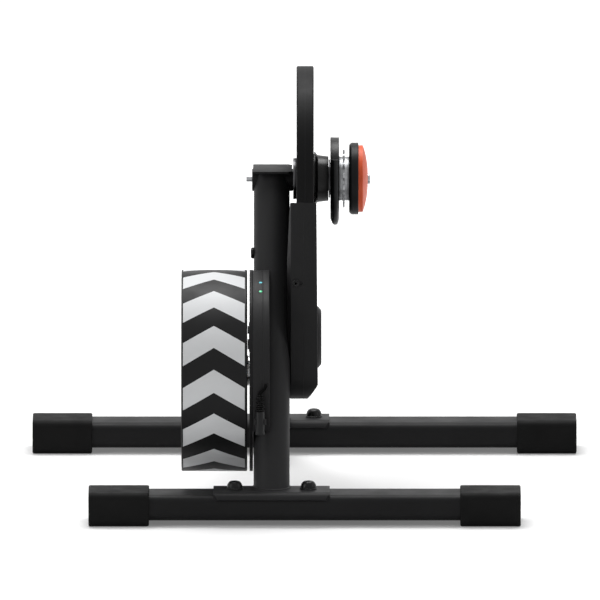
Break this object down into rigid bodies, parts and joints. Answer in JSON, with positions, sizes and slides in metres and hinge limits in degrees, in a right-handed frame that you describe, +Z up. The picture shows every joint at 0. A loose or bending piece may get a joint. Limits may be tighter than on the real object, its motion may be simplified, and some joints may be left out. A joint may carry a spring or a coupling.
{
  "type": "direct drive bike trainer",
  "caption": "A-frame stand on two rubber-ended feet that holds a bike's rear axle and drives a belt-turned, electrically braked flywheel through a sprocket.",
  "frame": {"origin": "on the floor, at the middle of the two feet's outline", "axes": "+X towards the drive side, +Y the way the bike faces, +Z up"},
  "size_m": [0.584, 0.508, 0.4543],
  "materials": {
    "painted_frame": "satin black paint",
    "cap_rubber": "matt black rubber",
    "dark_steel": "blackened steel",
    "bright_steel": "bright turned steel",
    "machined_aluminium": "turned aluminium",
    "housing_plastic": "fine-grained black plastic",
    "cap_orange": "satin orange plastic",
    "cast_flywheel": "cast iron with black paint and a chevron pattern",
    "iron_core": "iron poles with copper windings",
    "circuit_board": "green circuit board",
    "clear_lamp": "clear light guide"
  },
  "bodies": {
    "root": {"front_foot_tube": "painted_frame", "front_saddle": "painted_frame", "rear_foot_tube": "painted_frame", "rear_saddle": "painted_frame", "rear_leg": "painted_frame", "front_leg": "painted_frame", "leg_top_cap": "painted_frame", "axle_barrel": "painted_frame", "bearing_housing": "painted_frame", "front_left_foot_cap": "cap_rubber", "front_right_foot_cap": "cap_rubber", "rear_left_foot_cap": "cap_rubber", "rear_right_foot_cap": "cap_rubber", "drive_belt": "cap_rubber", "power_lead": "cap_rubber", "strain_relief": "cap_rubber", "front_left_leg_bolt": "dark_steel", "front_right_leg_bolt": "dark_steel", "rear_left_leg_bolt": "dark_steel", "rear_right_leg_bolt": "dark_steel", "cover_screw": "dark_steel", "cover_mount_bolt": "dark_steel", "tensioner_arm": "dark_steel", "axle": "bright_steel", "left_axle_adapter": "bright_steel", "right_axle_adapter": "bright_steel", "left_flywheel_bearing": "bright_steel", "right_flywheel_bearing": "bright_steel", "brake_plate": "machined_aluminium", "upper_guard_left": "housing_plastic", "upper_guard_right": "housing_plastic", "cover_inner_shell": "housing_plastic", "cover_outer_shell": "housing_plastic", "electronics_housing": "housing_plastic", "electronics_cover": "housing_plastic", "speed_sensor": "housing_plastic", "power_socket": "housing_plastic", "lead_clip": "housing_plastic", "stator": "iron_core", "circuit_board": "circuit_board", "light_guide": "clear_lamp"},
    "flywheel": {"flywheel": "cast_flywheel", "flywheel_shaft": "bright_steel", "flywheel_nut": "dark_steel", "small_pulley": "machined_aluminium", "pulley_nut": "dark_steel"},
    "drive_pulley": {"drive_hub": "dark_steel", "large_pulley": "machined_aluminium", "inner_hub_bearing": "bright_steel", "outer_hub_bearing": "bright_steel", "ratchet_ring": "dark_steel"},
    "freehub": {"freehub_body": "machined_aluminium", "inner_freehub_bearing": "bright_steel", "outer_freehub_bearing": "bright_steel", "inner_chain_guard": "housing_plastic", "sprocket": "bright_steel", "outer_chain_guard": "housing_plastic", "lockring": "dark_steel", "lock_cap": "cap_orange"},
    "idler": {"idler_pulley": "machined_aluminium"}
  },
  "joints": [
    {"name": "flywheel_spin", "type": "hinge", "parent": "root", "child": "flywheel", "pos_m": [0, -0.10561, 0.14295], "axis": [1, 0, 0], "continuous": true},
    {"name": "pulley_spin", "type": "hinge", "parent": "root", "child": "drive_pulley", "pos_m": [0, -0.016, 0.3346], "axis": [1, 0, 0], "continuous": true},
    {"name": "freehub_freewheel", "type": "hinge", "parent": "drive_pulley", "child": "freehub", "pos_m": [0, -0.016, 0.3346], "axis": [1, 0, 0], "continuous": true},
    {"name": "idler_spin", "type": "hinge", "parent": "root", "child": "idler", "pos_m": [0, -0.03192, 0.19902], "axis": [1, 0, 0], "continuous": true}
  ],
  "couplings": [
    {"joint": "pulley_spin", "follows": "flywheel_spin", "ratio": 0.2012},
    {"joint": "idler_spin", "follows": "flywheel_spin", "ratio": -1.0303}
  ]
}
